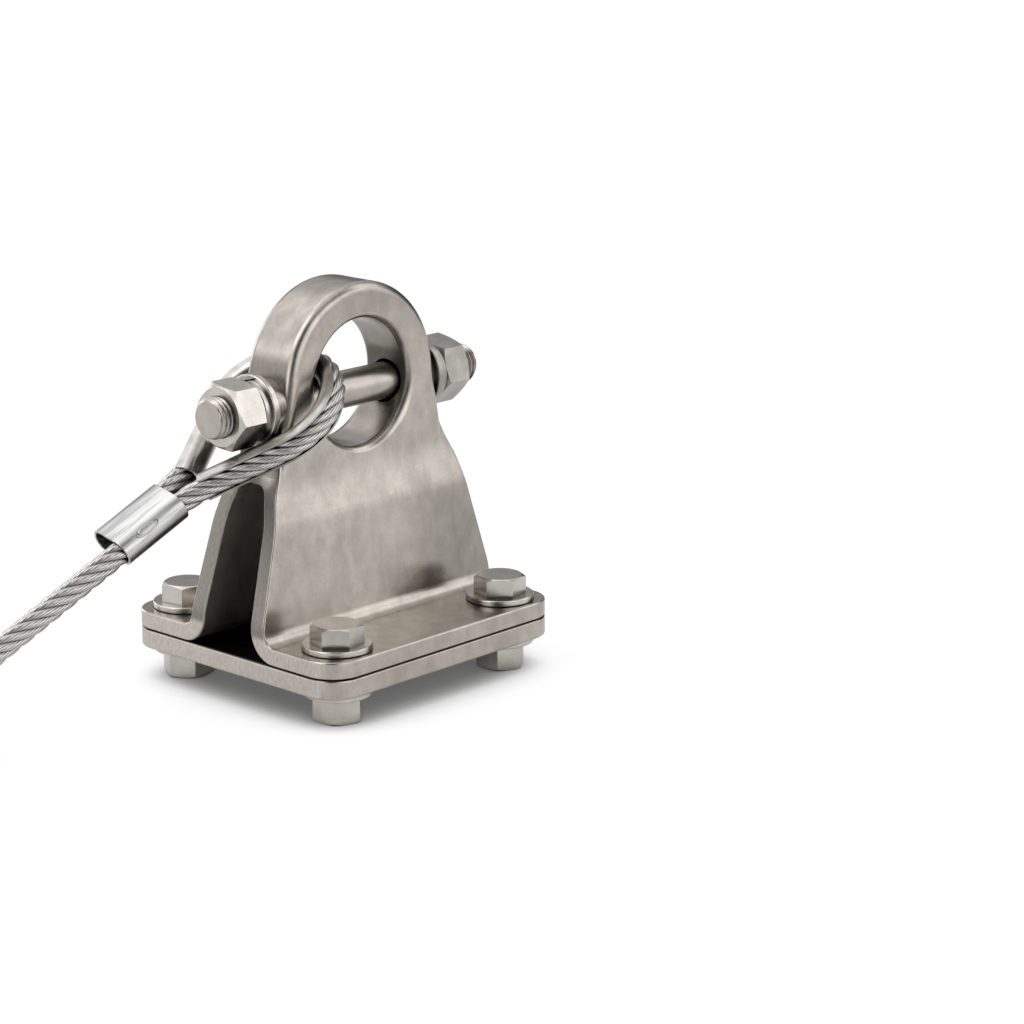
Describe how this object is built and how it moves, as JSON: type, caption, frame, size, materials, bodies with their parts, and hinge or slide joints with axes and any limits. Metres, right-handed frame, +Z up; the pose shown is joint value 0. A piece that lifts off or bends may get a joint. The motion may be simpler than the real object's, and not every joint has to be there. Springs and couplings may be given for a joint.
{
  "type": "lifeline anchor bracket",
  "caption": "Stainless lifeline anchor: thick-rimmed eye on two splayed legs, bolted over a base plate, with a cross stud and a swaged wire rope loop round one side of the eye.",
  "frame": {"origin": "centre of the base plate's footprint, level with the undersides of the four clamp nuts it stands on", "axes": "+X along the cross stud, away from the rope; +Y along the eye hole's axis, from the front face to the back; +Z up"},
  "size_m": [0.2863, 0.1162, 0.1583],
  "materials": {
    "plate_steel": "satin, ground edges",
    "fastener_steel": "satin with machined ends",
    "thimble_steel": "polished",
    "rope_wire": "bright drawn wire",
    "ferrule_metal": "pressed, bright"
  },
  "bodies": {
    "root": {"base_plate": "plate_steel", "eye_bracket": "plate_steel", "cross_stud": "fastener_steel", "stud_flat_washer_left": "fastener_steel", "stud_lock_washer_left": "fastener_steel", "stud_nut_left": "fastener_steel", "stud_flat_washer_right": "fastener_steel", "stud_lock_washer_right": "fastener_steel", "stud_nut_right": "fastener_steel", "clamp_bolt_front_left": "fastener_steel", "bolt_washer_front_left": "fastener_steel", "nut_washer_front_left": "fastener_steel", "clamp_nut_front_left": "fastener_steel", "clamp_bolt_front_right": "fastener_steel", "bolt_washer_front_right": "fastener_steel", "nut_washer_front_right": "fastener_steel", "clamp_nut_front_right": "fastener_steel", "clamp_bolt_back_left": "fastener_steel", "bolt_washer_back_left": "fastener_steel", "nut_washer_back_left": "fastener_steel", "clamp_nut_back_left": "fastener_steel", "clamp_bolt_back_right": "fastener_steel", "bolt_washer_back_right": "fastener_steel", "nut_washer_back_right": "fastener_steel", "clamp_nut_back_right": "fastener_steel", "rope_thimble": "thimble_steel", "rope_ferrule": "ferrule_metal", "wire_rope": "rope_wire", "end_terminal": "thimble_steel"}
  },
  "joints": []
}
